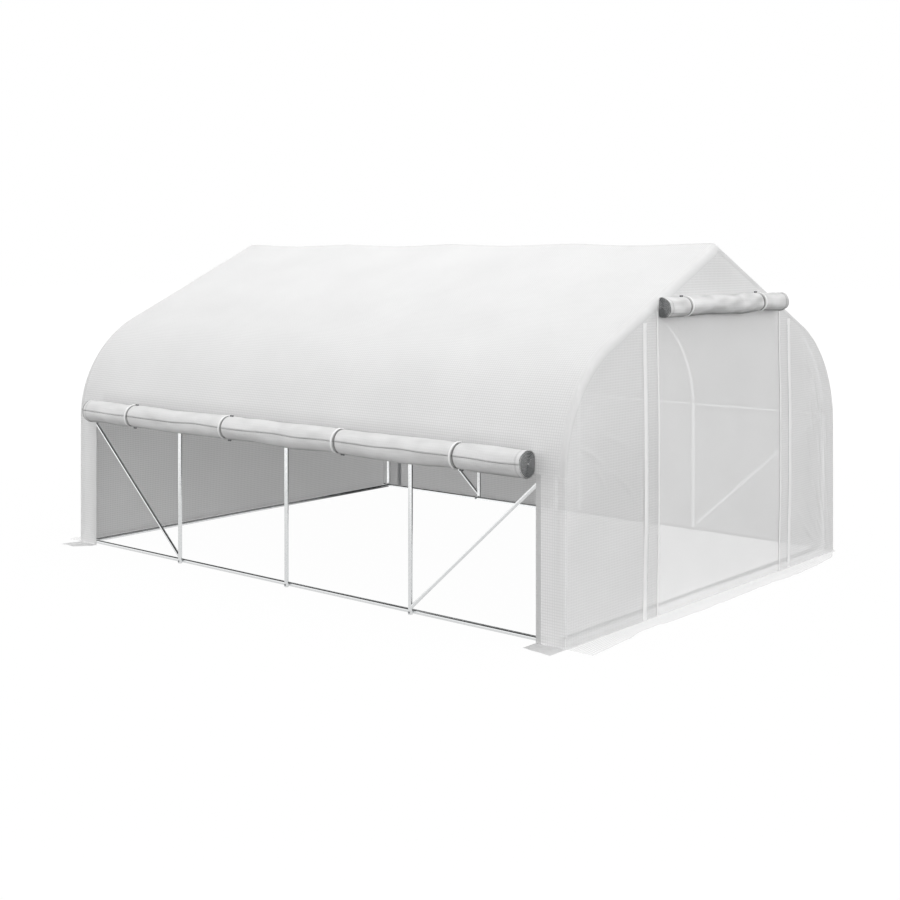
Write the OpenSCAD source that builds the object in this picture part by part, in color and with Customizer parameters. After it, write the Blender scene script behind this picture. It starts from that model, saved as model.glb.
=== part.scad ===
// Walk-in tunnel greenhouse: bent steel tube arches under a cloth cover.
// Millimetres, +Z up, ridge along X, door gable at +X, rolled-up long side at -Y.

/* [Overall] */
// Length over the two gable cloths
length = 4000; // [3000:50:6000]
// Width over the two long side cloths
width = 3000; // [2600:50:3400]
// Height of the cover at the ridge
ridge_h = 2000; // [1900:10:2300]
// Slope of the two straight roof faces, in degrees
roof_pitch = 25; // [20:1:30]
// Outside radius of the rounded shoulders between wall and roof
shoulder_r = 720; // [500:10:800]
// Number of equal bays between the arches
bays = 4; // [3:1:6]

/* [Cover] */
// Thickness of the cover cloth as modelled
cloth_t = 2; // [1:0.5:4]
// Width of the flaps that lie on the ground outside the walls
flap_w = 180; // [100:10:260]
// Width of the fixed cloth strip at each end of a long side
edge_strip_w = 184; // [120:2:240]

/* [Door] */
// Clear width of the doorway in the door gable
door_w = 1380; // [900:20:1420]
// Distance of the doorway top below the ridge
door_drop = 370; // [360:5:500]

/* [Frame] */
// Outside diameter of the frame tubes
tube_d = 25; // [19:1:32]
// Wall thickness of all tubes
tube_wall = 1.2; // [0.8:0.1:2]
// Outside diameter of the diagonal braces
brace_d = 19; // [16:1:25]
// Distance of the end arch axes behind the outer faces of the gables
end_setback = 68; // [20:2:120]
// Height of the side purlins above the top of the straight legs
purlin_rise = 55; // [0:1:80]
// Height of the lower brace end above the ground
brace_foot_h = 35; // [25:5:150]
// Length of each arm of the ridge elbows
elbow_arm = 160; // [80:5:300]
// Length of the reduced elbow ends inside the rafters
spigot_len = 45; // [20:5:80]
// Length of the inner sleeve on each side of a shoulder joint
sleeve_len = 18; // [10:1:20]

/* [Rolls] */
// Diameter of the rolled-up long side
side_roll_d = 144; // [100:2:180]
// Height of the side roll axis above the top of the straight legs
side_roll_rise = 59; // [0:1:70]
// Diameter of the rolled-up door flap
door_roll_d = 110; // [80:2:140]
// Height of the door roll axis above the top of the doorway
door_roll_rise = 22; // [0:1:40]
// Share of the door roll radius left between its axis and the gable
door_roll_flat = 0.46; // [0.3:0.02:0.9]
// Share of the side roll radius left between its axis and the wall
side_roll_flat = 0.86; // [0.3:0.02:0.9]
// Turns of cloth in the side roll
side_turns = 4.75; // [3:0.25:7]
// Turns of cloth in the door roll
door_turns = 4.25; // [3:0.25:7]

/* [Straps] */
// Number of straps around the side roll
side_straps = 4; // [2:1:8]
// Distance of the door roll straps from the roll ends
door_strap_inset = 270; // [100:10:400]
// Width of the strap webbing
strap_w = 14; // [10:1:40]
// Thickness of the strap webbing as modelled
strap_t = 2; // [1:0.5:3]
// Length of the toggle pegs that close the straps
toggle_len = 34; // [24:2:60]
// Diameter of the toggle pegs
toggle_d = 11; // [8:1:16]

/* [Hidden] */
// Seating clearance between neighbouring pieces
fit = 0.3;
// Clearance between an elbow spigot and the rafter bore
spigot_fit = 0.2;
// Seam left between a bent shoulder and its rafter
joint_seam = 1;
// Cloth kept between the doorway corners and the roof
door_edge_room = 40;
// Facets of round sections
$fn = 48;
// Points in one turn of a rolled cloth
turn_steps = 24;
// Share of the roll pitch taken by the cloth itself
roll_fill = 0.55;
// Free core of a roll as a share of its radius
roll_core = 0.12;
half_l = length / 2;
half_w = width / 2;
// Where the shoulder centre lies, out from the middle and up
shoulder_u = half_w - shoulder_r;
bend_angle = 90 - roof_pitch;
tangent_rise = shoulder_r * cos(roof_pitch);
tangent_out = shoulder_u + shoulder_r * sin(roof_pitch);
// Height of the straight legs and of the upright side walls
wall_h = ridge_h - tan(roof_pitch) * tangent_out - tangent_rise;
// Tube axes lie this far inside the outer face of the cover
axis_inset = cloth_t + fit + tube_d / 2;
leg_u = half_w - axis_inset;
bend_r = shoulder_r - axis_inset;
apex_h = ridge_h - axis_inset / cos(roof_pitch);
rafter_u = shoulder_u + bend_r * sin(roof_pitch);
rafter_v = wall_h + bend_r * cos(roof_pitch);
rafter_len = rafter_u / cos(roof_pitch) - elbow_arm - joint_seam;
arch_end = half_l - end_setback;
bay = 2 * arch_end / bays;
// Rails and purlins run along the inner side of the legs
rail_u = leg_u - tube_d - fit;
rail_half_l = arch_end + tube_d;
// All base rails lie on the ground
rail_h = tube_d / 2;
purlin_h = wall_h + purlin_rise;
purlin_reach = bend_r - tube_d - fit;
purlin_u = shoulder_u + sqrt(purlin_reach * purlin_reach - purlin_rise * purlin_rise);
ridge_pole_h = apex_h - (tube_d + fit) / cos(roof_pitch);
gable_rail_x = arch_end - tube_d - fit;
panel_half = half_l - edge_strip_w;
cloth_in = cloth_t + fit;
door_h = min(ridge_h - door_drop, ridge_h - tan(roof_pitch) * door_w / 2 - door_edge_room);
door_roll_h = door_h + door_roll_rise;
side_roll_r = side_roll_d / 2;
door_roll_r = door_roll_d / 2;
side_roll_h = wall_h + side_roll_rise;
roll_seat = strap_t + 2 * fit;
side_strap_step = 2 * panel_half / side_straps;
door_strap_y = door_w / 2 - door_strap_inset;
// Waist of a toggle peg, and how far the peg is let into its strap
toggle_waist_d = 0.7 * toggle_d;
toggle_bite = 0.5 * strap_t;
steel = [0.72, 0.74, 0.76];
cloth = [0.93, 0.94, 0.94];
screen = [0.86, 0.88, 0.88];
webbing = [0.80, 0.81, 0.82];

// Place of arch number i along the ridge, counted from the far gable
function arch_x(i) = -arch_end + (i - 1) * bay;

// Distance from a roll axis to its flattened outline in direction a
function roll_reach(r, flat, a) = cos(a) > flat ? r * flat / cos(a) : r;

// One point of the rolled cloth, a turns in from its outer end, at share s of the outline
function roll_point(r, flat, a, s) = roll_reach(r, flat, a) * s * [cos(a), sin(a)];

// Cross-section of a rolled cloth as a spiral strip, flattened towards +X
function roll_outline(r, flat, turns) =
    let (
        pitch = (1 - roll_core) / turns,
        last = turns * turn_steps,
        start = 90,
        outer = [for (k = [0:last])
            roll_point(r, flat, start + 360 * k / turn_steps, 1 - pitch * k / turn_steps)],
        inner = [for (k = [last:-1:0])
            roll_point(r, flat, start + 360 * k / turn_steps, 1 - pitch * (k / turn_steps + roll_fill))]
    )
    concat(outer, inner);

// Section of a round tube
module tube_section(d) {
    difference() {
        circle(d = d);
        circle(d = d - 2 * tube_wall);
    }
}

// Straight tube along +Z
module tube(d, len) {
    linear_extrude(len)
        tube_section(d);
}

// Turns a drawing with X outwards and Y up into the front half at place x
module front_half(x) {
    translate([x, 0, 0])
        rotate([90, 0, -90])
            children();
}

// The same for the back half
module back_half(x) {
    mirror([0, 1, 0])
        front_half(x)
            children();
}

// Sleeve along +Z that sits half in the tube wall
module inner_sleeve(len) {
    linear_extrude(len)
        difference() {
            circle(d = tube_d - tube_wall);
            circle(d = tube_d - 3 * tube_wall);
        }
}

// One bent tube: straight leg, rounded shoulder and a rafter sleeved to it
module half_arch() {
    translate([leg_u, 0, 0])
        rotate([-90, 0, 0])
            tube(tube_d, wall_h);
    translate([shoulder_u, wall_h, 0])
        rotate_extrude(angle = bend_angle)
            translate([bend_r, 0])
                tube_section(tube_d);
    translate([rafter_u, rafter_v, 0])
        rotate([0, 0, 180 - roof_pitch])
            rotate([0, 90, 0]) {
                translate([0, 0, -sleeve_len])
                    inner_sleeve(2 * sleeve_len + joint_seam);
                translate([0, 0, joint_seam])
                    tube(tube_d, rafter_len);
            }
}

// One arm of a ridge elbow with its reduced end, cut off at the middle
module elbow_arm_half() {
    difference() {
        translate([0, apex_h, 0])
            rotate([0, 0, -roof_pitch])
                rotate([0, 90, 0])
                    translate([0, 0, -tube_d])
                        tube(tube_d, elbow_arm + tube_d);
        translate([-2 * tube_d, apex_h - 2 * tube_d, -tube_d])
            cube([2 * tube_d, 4 * tube_d, 2 * tube_d]);
    }
    translate([0, apex_h, 0])
        rotate([0, 0, -roof_pitch])
            rotate([0, 90, 0])
                translate([0, 0, elbow_arm - spigot_len])
                    elbow_spigot();
}

// Reduced end of an elbow arm, with a collar that fills the arm bore behind it
module elbow_spigot() {
    spigot_d = tube_d - 2 * tube_wall - 2 * spigot_fit;
    tube(spigot_d, 2 * spigot_len);
    linear_extrude(spigot_len)
        difference() {
            circle(d = tube_d - tube_wall);
            circle(d = spigot_d - tube_wall);
        }
}

// Angled joints at the top of the arches
module ridge_elbows() {
    color(steel)
        for (i = [1:bays + 1]) {
            front_half(arch_x(i))
                elbow_arm_half();
            back_half(arch_x(i))
                elbow_arm_half();
        }
}

// Tube along X between the gables
module long_tube(y, z) {
    color(steel)
        translate([-rail_half_l, y, z])
            rotate([0, 90, 0])
                tube(tube_d, 2 * rail_half_l);
}

// Tube along Y inside a gable, coped round the long base rails at both ends
module gable_tube(x) {
    room_d = tube_d + 2 * fit;
    color(steel)
        difference() {
            translate([x, -rail_u, rail_h])
                rotate([-90, 0, 0])
                    tube(tube_d, 2 * rail_u);
            for (side = [-1, 1])
                translate([x - tube_d, side * rail_u, rail_h])
                    rotate([0, 90, 0])
                        cylinder(d = room_d, h = 2 * tube_d);
        }
}

// Room round a leg and its shoulder, for coping
module leg_room() {
    room_d = tube_d + 2 * fit;
    translate([leg_u, 0, 0])
        rotate([-90, 0, 0])
            cylinder(d = room_d, h = wall_h);
    translate([shoulder_u, wall_h, 0])
        rotate_extrude(angle = bend_angle)
            translate([bend_r, 0])
                circle(d = room_d);
}

// Diagonal in the front from the foot of the leg at x0 to the shoulder at x1, coped to both
module brace(x0, x1) {
    rise = purlin_h - brace_foot_h;
    run = x1 - x0;
    color(steel)
        difference() {
            translate([x0, -leg_u, brace_foot_h])
                rotate([0, atan2(run, rise), 0])
                    tube(brace_d, sqrt(run * run + rise * rise));
            for (x = [x0, x1])
                front_half(x)
                    leg_room();
        }
}

// Rounded cloth between an upright side wall and a roof slope
module shoulder_cloth() {
    translate([shoulder_u, wall_h, -half_l])
        rotate_extrude(angle = bend_angle)
            translate([shoulder_r - cloth_t, 0])
                square([cloth_t, length]);
}

// Straight roof face from a shoulder up to the ridge, cut upright at the middle
module slope_cloth() {
    in_r = shoulder_r - cloth_t;
    linear_extrude(length)
        polygon([
            [tangent_out, wall_h + tangent_rise],
            [0, ridge_h],
            [0, ridge_h - cloth_t / cos(roof_pitch)],
            [shoulder_u + in_r * sin(roof_pitch), wall_h + in_r * cos(roof_pitch)]
        ]);
}

// Rounded shoulder corner that completes a gable outline
module gable_corner(r) {
    translate([shoulder_u, wall_h, 0])
        rotate_extrude(angle = bend_angle)
            square([r, cloth_t]);
}

// Whole gable cloth inside the roof cloth, from x to x + cloth_t
module gable_cloth(x) {
    r = shoulder_r - cloth_in;
    side = half_w - cloth_in;
    tan_u = shoulder_u + r * sin(roof_pitch);
    tan_v = wall_h + r * cos(roof_pitch);
    front_half(x + cloth_t) {
        linear_extrude(cloth_t)
            polygon([
                [-side, 0],
                [side, 0],
                [side, wall_h],
                [shoulder_u, wall_h],
                [tan_u, tan_v],
                [0, ridge_h - cloth_in / cos(roof_pitch)],
                [-tan_u, tan_v],
                [-shoulder_u, wall_h],
                [-side, wall_h]
            ]);
        gable_corner(r);
        mirror([1, 0, 0])
            gable_corner(r);
    }
}

// The part of the door gable between y0 and y1 above z0
module door_gable_part(y0, y1, z0) {
    color(cloth)
        intersection() {
            gable_cloth(half_l - cloth_t);
            translate([half_l - 2 * cloth_t, y0, z0])
                cube([3 * cloth_t, y1 - y0, ridge_h]);
        }
}

// Insect screen that closes the doorway
module door_screen() {
    color(screen)
        translate([half_l - cloth_t, -door_w / 2, 0])
            cube([cloth_t, door_w, door_h]);
}

// Upright side cloth from x0 to x1 with its outer face at y
module side_cloth(x0, x1, y) {
    color(cloth)
        translate([x0, y, 0])
            cube([x1 - x0, cloth_t, wall_h]);
}

// Flap on the ground
module ground_flap(x0, x1, y0, y1) {
    color(cloth)
        translate([x0, y0, 0])
            cube([x1 - x0, y1 - y0, cloth_t]);
}

// Flaps at the feet of the two front strips
module front_flaps() {
    for (x = [-half_l, panel_half])
        ground_flap(x, x + edge_strip_w, -half_w - flap_w, -half_w);
}

// Flap along the far gable
module far_gable_flap() {
    side = half_w - cloth_in;
    ground_flap(-half_l - flap_w, -half_l, -side, side);
}

// Flaps of the door gable, parted at the two door edges
module door_gable_flaps() {
    side = half_w - cloth_in;
    edge = door_w / 2;
    ground_flap(half_l, half_l + flap_w, -side, -edge - fit);
    ground_flap(half_l, half_l + flap_w, -edge + fit, edge - fit);
    ground_flap(half_l, half_l + flap_w, edge + fit, side);
}

// Rolled cloth along +Z with its flat side towards +X
module cloth_roll(d, flat, turns, len) {
    color(cloth)
        linear_extrude(len)
            polygon(roll_outline(d / 2, flat, turns));
}

// Outline of a strap around a roll, grown by g
module strap_outline(r, flat, g) {
    intersection() {
        circle(r = r + g);
        translate([-2 * r, -2 * r])
            square([2 * r + r * flat + g, 4 * r]);
    }
}

// Waisted peg along +Z
module toggle_peg() {
    rotate_extrude()
        polygon([
            [0, 0],
            [toggle_d / 2, 0],
            [toggle_d / 2, 0.38 * toggle_len],
            [toggle_waist_d / 2, 0.44 * toggle_len],
            [toggle_waist_d / 2, 0.56 * toggle_len],
            [toggle_d / 2, 0.62 * toggle_len],
            [toggle_d / 2, toggle_len],
            [0, toggle_len]
        ]);
}

// Strap around a roll, closed by a peg that lies below it, from the strap towards the end given by side
module roll_strap(r, flat, side) {
    peg_y = -r - fit - strap_t - toggle_d / 2 + toggle_bite;
    peg_z = side > 0 ? 0 : strap_w - toggle_len;
    color(webbing) {
        linear_extrude(strap_w)
            difference() {
                strap_outline(r, flat, fit + strap_t);
                strap_outline(r, flat, fit);
            }
        translate([0, peg_y, peg_z])
            toggle_peg();
    }
}

// Turns a roll drawing with +X to the wall and +Y up so that it lies along X, from x on
module side_roll_place(x) {
    seat = half_w + side_roll_r * side_roll_flat + roll_seat;
    translate([x, -seat, side_roll_h])
        rotate([90, 0, 90])
            children();
}

// The same for the door roll, along Y from y on
module door_roll_place(y) {
    seat = half_l + door_roll_r * door_roll_flat + roll_seat;
    translate([seat, y, door_roll_h])
        rotate([90, 0, 180])
            children();
}

// Long side cloth, rolled up between the edge strips
module side_roll() {
    side_roll_place(-panel_half)
        cloth_roll(side_roll_d, side_roll_flat, side_turns, 2 * panel_half);
}

// Straps of the side roll, one in each equal share of its length
module side_roll_straps() {
    for (i = [0:side_straps - 1])
        side_roll_place(-panel_half + (i + 0.5) * side_strap_step - strap_w / 2)
            roll_strap(side_roll_r, side_roll_flat, 1);
}

// Outer door flap, rolled up over the doorway
module door_roll() {
    door_roll_place(-door_w / 2)
        cloth_roll(door_roll_d, door_roll_flat, door_turns, door_w);
}

// Straps of the door roll
module door_roll_straps() {
    for (y = [-door_strap_y, door_strap_y])
        door_roll_place(y - strap_w / 2)
            roll_strap(door_roll_r, door_roll_flat, -1);
}

for (i = [1:bays + 1]) {
    color(steel) front_half(arch_x(i)) half_arch();
    color(steel) back_half(arch_x(i)) half_arch();
}
ridge_elbows();
long_tube(0, ridge_pole_h);  // ridge_pole
long_tube(-purlin_u, purlin_h);  // front_purlin
long_tube(purlin_u, purlin_h);  // back_purlin
long_tube(-rail_u, rail_h);  // front_base_rail
long_tube(rail_u, rail_h);  // back_base_rail
gable_tube(-gable_rail_x);  // far_base_rail
gable_tube(gable_rail_x);  // door_base_rail
brace(arch_x(2), arch_x(1));  // front_far_brace
brace(arch_x(bays), arch_x(bays + 1));  // front_door_brace
mirror([0, 1, 0]) brace(arch_x(2), arch_x(1));  // back_far_brace
mirror([0, 1, 0]) brace(arch_x(bays), arch_x(bays + 1));  // back_door_brace
color(cloth) front_half(0) shoulder_cloth();  // roof_front_shoulder
color(cloth) front_half(half_l) slope_cloth();  // roof_front_slope
color(cloth) back_half(half_l) slope_cloth();  // roof_back_slope
color(cloth) back_half(0) shoulder_cloth();  // roof_back_shoulder
color(cloth) gable_cloth(-half_l);  // far_gable
door_gable_part(-half_w, -door_w / 2, 0);  // door_gable_front
door_gable_part(door_w / 2, half_w, 0);  // door_gable_back
door_gable_part(-door_w / 2, door_w / 2, door_h);  // door_gable_top
door_screen();
side_cloth(-half_l, -panel_half, -half_w);  // front_strip_far
side_cloth(panel_half, half_l, -half_w);  // front_strip_door
side_cloth(-half_l, -panel_half, half_w - cloth_t);  // back_strip_far
side_cloth(panel_half, half_l, half_w - cloth_t);  // back_strip_door
side_cloth(-panel_half, panel_half, half_w - cloth_t);  // back_panel
front_flaps();
ground_flap(-half_l, half_l, half_w, half_w + flap_w);  // back_flap
far_gable_flap();
door_gable_flaps();
side_roll();
side_roll_straps();
door_roll();
door_roll_straps();
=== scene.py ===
"""Dresses the tunnel greenhouse: cloth cover, rolls, straps, seams and small hardware on the steel frame."""
import logging
import math
from dataclasses import dataclass, field
from enum import Enum
from functools import lru_cache
from typing import Callable, Iterable, Sequence

import bpy
from mathutils import Matrix, Vector, noise


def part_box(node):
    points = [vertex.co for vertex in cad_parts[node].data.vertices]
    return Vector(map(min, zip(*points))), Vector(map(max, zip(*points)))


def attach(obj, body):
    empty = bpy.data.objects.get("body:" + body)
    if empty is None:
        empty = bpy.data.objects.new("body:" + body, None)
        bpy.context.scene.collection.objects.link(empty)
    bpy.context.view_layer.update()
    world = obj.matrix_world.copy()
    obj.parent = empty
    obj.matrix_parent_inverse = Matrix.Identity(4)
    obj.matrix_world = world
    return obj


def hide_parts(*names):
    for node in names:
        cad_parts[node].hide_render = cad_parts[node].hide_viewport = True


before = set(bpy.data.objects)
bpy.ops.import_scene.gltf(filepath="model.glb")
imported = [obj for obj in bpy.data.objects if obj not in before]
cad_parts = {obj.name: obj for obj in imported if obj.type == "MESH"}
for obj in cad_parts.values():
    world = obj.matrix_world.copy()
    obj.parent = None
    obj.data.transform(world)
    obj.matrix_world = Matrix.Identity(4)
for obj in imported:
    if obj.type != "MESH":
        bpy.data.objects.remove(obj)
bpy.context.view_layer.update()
LOG = logging.getLogger("greenhouse")
ROOT = "root"
UV_NAME = "cloth"
# Vertex attribute of painted shade, with the rolls' random mottling.
SHADE_ATTRIBUTE = "painted_shade_and_mottle"
MM = 0.001

# Sizes in metres that several sub-assemblies share.
HALF_LENGTH = 2.0
HALF_WIDTH = 1.5
STRIP = 0.184
GABLE_PLANE = 1.999
DOOR_MIDDLE = 0.037
DOOR_HALF = 0.697
DOOR_HEIGHT = 1.63
ARCH_END = 1.932
BAYS = 4

Point = tuple[float, float, float]


class Slot(Enum):
    """Material slots of the record."""

    STEEL = "galvanised_steel"
    COVER = "cover_cloth"
    SCREEN = "screen_mesh"
    STRAP = "strap_webbing"


class Held(Enum):
    """How a sheet is held."""

    STRETCHED = "stretched"
    HUNG = "hung"
    LAID = "laid"
    FOLDED = "folded"


def linear(hex_colour: str) -> tuple[float, float, float, float]:
    """Turns an sRGB hex colour into linear RGBA.

    Args:
        hex_colour: Six hex digits after a hash sign.

    Returns:
        The linear red, green and blue with full alpha.
    """
    values = [int(hex_colour[i:i + 2], 16) / 255 for i in (1, 3, 5)]
    low = [v / 12.92 if v <= 0.04045 else ((v + 0.055) / 1.055) ** 2.4 for v in values]
    return (low[0], low[1], low[2], 1.0)


def add_node(tree: bpy.types.NodeTree, kind: str, inputs: dict | None = None,
             **settings: object) -> bpy.types.Node:
    """Adds one shader node with its settings, values and links.

    Args:
        tree: The node tree that gets the node.
        kind: The node's type name, after the part that all shader nodes share.
        inputs: Values or source sockets by input name or index.
        settings: Properties set on the node itself.

    Returns:
        The new node.
    """
    node = tree.nodes.new(f"ShaderNode{kind}")
    for name, value in settings.items():
        setattr(node, name, value)
    for key, value in (inputs or {}).items():
        if isinstance(value, bpy.types.NodeSocket):
            tree.links.new(value, node.inputs[key])
        else:
            node.inputs[key].default_value = value
    return node


def new_material(name: str) -> tuple[bpy.types.Material, bpy.types.NodeTree, bpy.types.Node]:
    """Makes an empty node material.

    Args:
        name: The material's name.

    Returns:
        The material, its node tree and its output node.
    """
    material = bpy.data.materials.new(name)
    material.use_nodes = True
    material.node_tree.nodes.clear()
    output = add_node(material.node_tree, "OutputMaterial")
    return material, material.node_tree, output


def smoothstep(low: float, high: float, value: float) -> float:
    """Eases from 0 at low to 1 at high."""
    share = min(max((value - low) / (high - low), 0.0), 1.0)
    return share * share * (3 - 2 * share)


def steps(start: float, end: float, pitch: float) -> list[float]:
    """Even places from start to end, about one pitch apart."""
    count = max(1, round(abs(end - start) / pitch))
    return [start + (end - start) * i / count for i in range(count + 1)]


@dataclass(frozen=True)
class GridCloth:
    """Woven polyethylene grid cloth: pale, milky, partly see-through, with painted shade on its inner side."""

    name: str
    cell: str
    thread: str
    pitch: float = 14.3 * MM
    thread_width: float = 4 * MM
    clear_cell: float = 0.31
    clear_thread: float = 0.0
    glow: float = 0.05
    # Tone of the sheet's inner side: painted shade, as the inside lies in shade.
    inner: float = 0.8
    # Colour factor where the painted shade is full.
    darkest_shade: float = 0.25
    roughness: float = 0.42
    relief: float = 0.35 * MM
    crinkle: float = 1.1 * MM
    fold: float = 45.4545 * MM
    blotch: float = 333.333 * MM

    def make(self) -> bpy.types.Material:
        """Builds the cloth: a thread grid on UV metres drives colour, clearness and relief.

        Returns:
            The finished material.
        """
        material, tree, output = new_material(self.name)
        uv = add_node(tree, "UVMap", uv_map=UV_NAME)
        axes = add_node(tree, "SeparateXYZ", {0: uv.outputs[0]})
        masks = []
        for axis in (0, 1):
            wave = add_node(tree, "Math", {0: axes.outputs[axis], 1: self.pitch / 2}, operation="PINGPONG")
            masks.append(add_node(tree, "MapRange", {
                0: wave.outputs[0], 1: self.thread_width * 0.35, 2: self.thread_width * 0.65, 3: 1.0, 4: 0.0},
                interpolation_type="SMOOTHSTEP"))
        grid = add_node(tree, "Math", {0: masks[0].outputs[0], 1: masks[1].outputs[0]}, operation="MAXIMUM")
        tone = add_node(tree, "TexNoise", {"Vector": uv.outputs[0], "Scale": 1 / self.blotch, "Detail": 4.0})
        shade = add_node(tree, "MapRange", {0: tone.outputs[0], 1: 0.3, 2: 0.7, 3: 0.965, 4: 1.0})
        weave = add_node(tree, "Mix", {
            0: grid.outputs[0], 6: linear(self.cell), 7: linear(self.thread)}, data_type="RGBA")
        # Painted shade: the inner side of the sheet renders darker.
        side = add_node(tree, "NewGeometry")
        inner_shade = add_node(tree, "MapRange", {
            0: side.outputs["Backfacing"], 1: 0.0, 2: 1.0, 3: 1.0, 4: self.inner})
        shade = add_node(tree, "Math", {0: shade.outputs[0], 1: inner_shade.outputs[0]}, operation="MULTIPLY")
        # Painted shade, with random mottling on the rolls, darkens the colour by the vertex attribute.
        painted_shade_and_mottle = add_node(tree, "Attribute", attribute_name=SHADE_ATTRIBUTE)
        painted_shade_and_mottle = add_node(tree, "MapRange", {0: painted_shade_and_mottle.outputs["Fac"], 1: 0.0, 2: 1.0, 3: 1.0, 4: self.darkest_shade})
        shade = add_node(tree, "Math", {0: shade.outputs[0], 1: painted_shade_and_mottle.outputs[0]}, operation="MULTIPLY")
        colour = add_node(tree, "Mix", {
            0: 1.0, 6: weave.outputs[2], 7: shade.outputs[0]}, data_type="RGBA", blend_type="MULTIPLY")
        folds = add_node(tree, "TexNoise", {
            "Vector": uv.outputs[0], "Scale": 1 / self.fold, "Detail": 5.0})
        crinkle = add_node(tree, "Bump", {"Distance": self.crinkle, "Height": folds.outputs[0]})
        relief = add_node(tree, "Bump", {
            "Distance": self.relief, "Height": grid.outputs[0], "Normal": crinkle.outputs[0]})
        face = add_node(tree, "BsdfPrincipled", {
            "Base Color": colour.outputs[2], "Roughness": self.roughness, "Specular IOR Level": 0.3,
            "Normal": relief.outputs[0]})
        through = add_node(tree, "BsdfTranslucent", {
            "Color": colour.outputs[2], "Normal": relief.outputs[0]})
        body = add_node(tree, "MixShader", {0: self.glow, 1: face.outputs[0], 2: through.outputs[0]})
        hole = add_node(tree, "BsdfTransparent")
        clear = add_node(tree, "MapRange", {
            0: grid.outputs[0], 1: 0.0, 2: 1.0, 3: self.clear_cell, 4: self.clear_thread})
        mix = add_node(tree, "MixShader", {0: clear.outputs[0], 1: body.outputs[0], 2: hole.outputs[0]})
        tree.links.new(mix.outputs[0], output.inputs[0])
        return material


@dataclass(frozen=True)
class GalvanisedSteel:
    """Hot-dip galvanised tube: bright zinc with a faint spangle that breaks up the long reflections."""

    name: str = "galvanised_steel_tube"
    light: str = "#F4F5F5"
    dark: str = "#EAECED"
    spangle: float = 9 * MM
    roughness_low: float = 0.12
    roughness_high: float = 0.22
    mark: float = 11.1111 * MM

    def make(self) -> bpy.types.Material:
        """Builds the zinc: cell spangle in colour and roughness, fine handling marks in relief.

        Returns:
            The finished material.
        """
        material, tree, output = new_material(self.name)
        place = add_node(tree, "TexCoord")
        cells = add_node(tree, "TexVoronoi", {
            "Vector": place.outputs["Object"], "Scale": 1 / self.spangle})
        colour = add_node(tree, "Mix", {
            0: cells.outputs["Color"], 6: linear(self.dark), 7: linear(self.light)}, data_type="RGBA")
        rough = add_node(tree, "MapRange", {
            0: cells.outputs["Distance"], 1: 0.0, 2: 1.0, 3: self.roughness_low, 4: self.roughness_high})
        marks = add_node(tree, "TexNoise", {
            "Vector": place.outputs["Object"], "Scale": 1 / self.mark, "Detail": 3.0})
        relief = add_node(tree, "Bump", {"Distance": 0.03 * MM, "Height": marks.outputs[0]})
        face = add_node(tree, "BsdfPrincipled", {
            "Base Color": colour.outputs[2], "Metallic": 1.0, "Roughness": rough.outputs[0],
            "Normal": relief.outputs[0]})
        tree.links.new(face.outputs[0], output.inputs[0])
        return material


@dataclass(frozen=True)
class FineTexture:
    """An opaque finish with a fine two-way texture: webbing, zip tape, cut cloth edges or moulded parts."""

    name: str
    base: str
    deep: str
    pitch: float
    roughness: float
    relief: float = 0.2 * MM

    def make(self) -> bpy.types.Material:
        """Builds the finish from two crossed waves on Object coordinates.

        Returns:
            The finished material.
        """
        material, tree, output = new_material(self.name)
        place = add_node(tree, "TexCoord")
        scale = math.tau / (20 * self.pitch)
        waves = [add_node(tree, "TexWave", {
            "Vector": place.outputs["Object"], "Scale": scale, "Distortion": 0.6},
            bands_direction=axis) for axis in ("Z", "DIAGONAL")]
        ribs = add_node(tree, "Math", {
            0: waves[0].outputs["Fac"], 1: waves[1].outputs["Fac"]}, operation="MULTIPLY")
        colour = add_node(tree, "Mix", {
            0: ribs.outputs[0], 6: linear(self.deep), 7: linear(self.base)}, data_type="RGBA")
        relief = add_node(tree, "Bump", {"Distance": self.relief, "Height": ribs.outputs[0]})
        face = add_node(tree, "BsdfPrincipled", {
            "Base Color": colour.outputs[2], "Roughness": self.roughness, "Normal": relief.outputs[0]})
        tree.links.new(face.outputs[0], output.inputs[0])
        return material


# Milky film between white threads, lit from both sides: pale and softly see-through.
COVER_CLOTH = GridCloth("woven_polyethylene_grid_cloth", "#F7F7F7", "#E6E6E6")
# The same cloth on the roof, where its coating is thicker: the frame hardly shows through it.
ROOF_CLOTH = GridCloth("roof_grid_cloth", "#F8F8F8", "#DFDFDF", clear_cell=0.1, glow=0.1)
# The same cloth in the strips beside the open side: its threads stand out against the pale floor.
STRIP_CLOTH = GridCloth("wall_strip_grid_cloth", "#FCFCFC", "#DDDDDD", clear_cell=0.18)
# The same cloth drawn tight over the door gable: clearer than the roof, denser than the back wall.
GABLE_CLOTH = GridCloth("gable_grid_cloth", "#F7F7F7", "#E8E8E8", clear_cell=0.2)
# The same cloth doubled at its hems: denser, so the floor shows through it less. Its darker tone is also painted
# shade on the two front ground flaps.
HEM_AND_SHADED_FLAP_CLOTH = GridCloth("hemmed_and_shaded_flap_grid_cloth", "#EAEAEA", "#E0E0E0", clear_cell=0.08, clear_thread=0.02)
# The same cloth folded over at the gable edges: its grid blurs into an even, pale band.
EDGE_CLOTH = GridCloth("folded_edge_cloth", "#EDEDED", "#E8E8E8", pitch=4 * MM, thread_width=1.2 * MM,
                       clear_cell=0.17, clear_thread=0.12, relief=0.05 * MM)
# The same cloth flat on the ground, where the pale floor shows through it and lights it up.
FLAP_CLOTH = GridCloth("ground_flap_grid_cloth", "#FDFDFD", "#FAFAFA", clear_cell=0.66, clear_thread=0.42)
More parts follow.
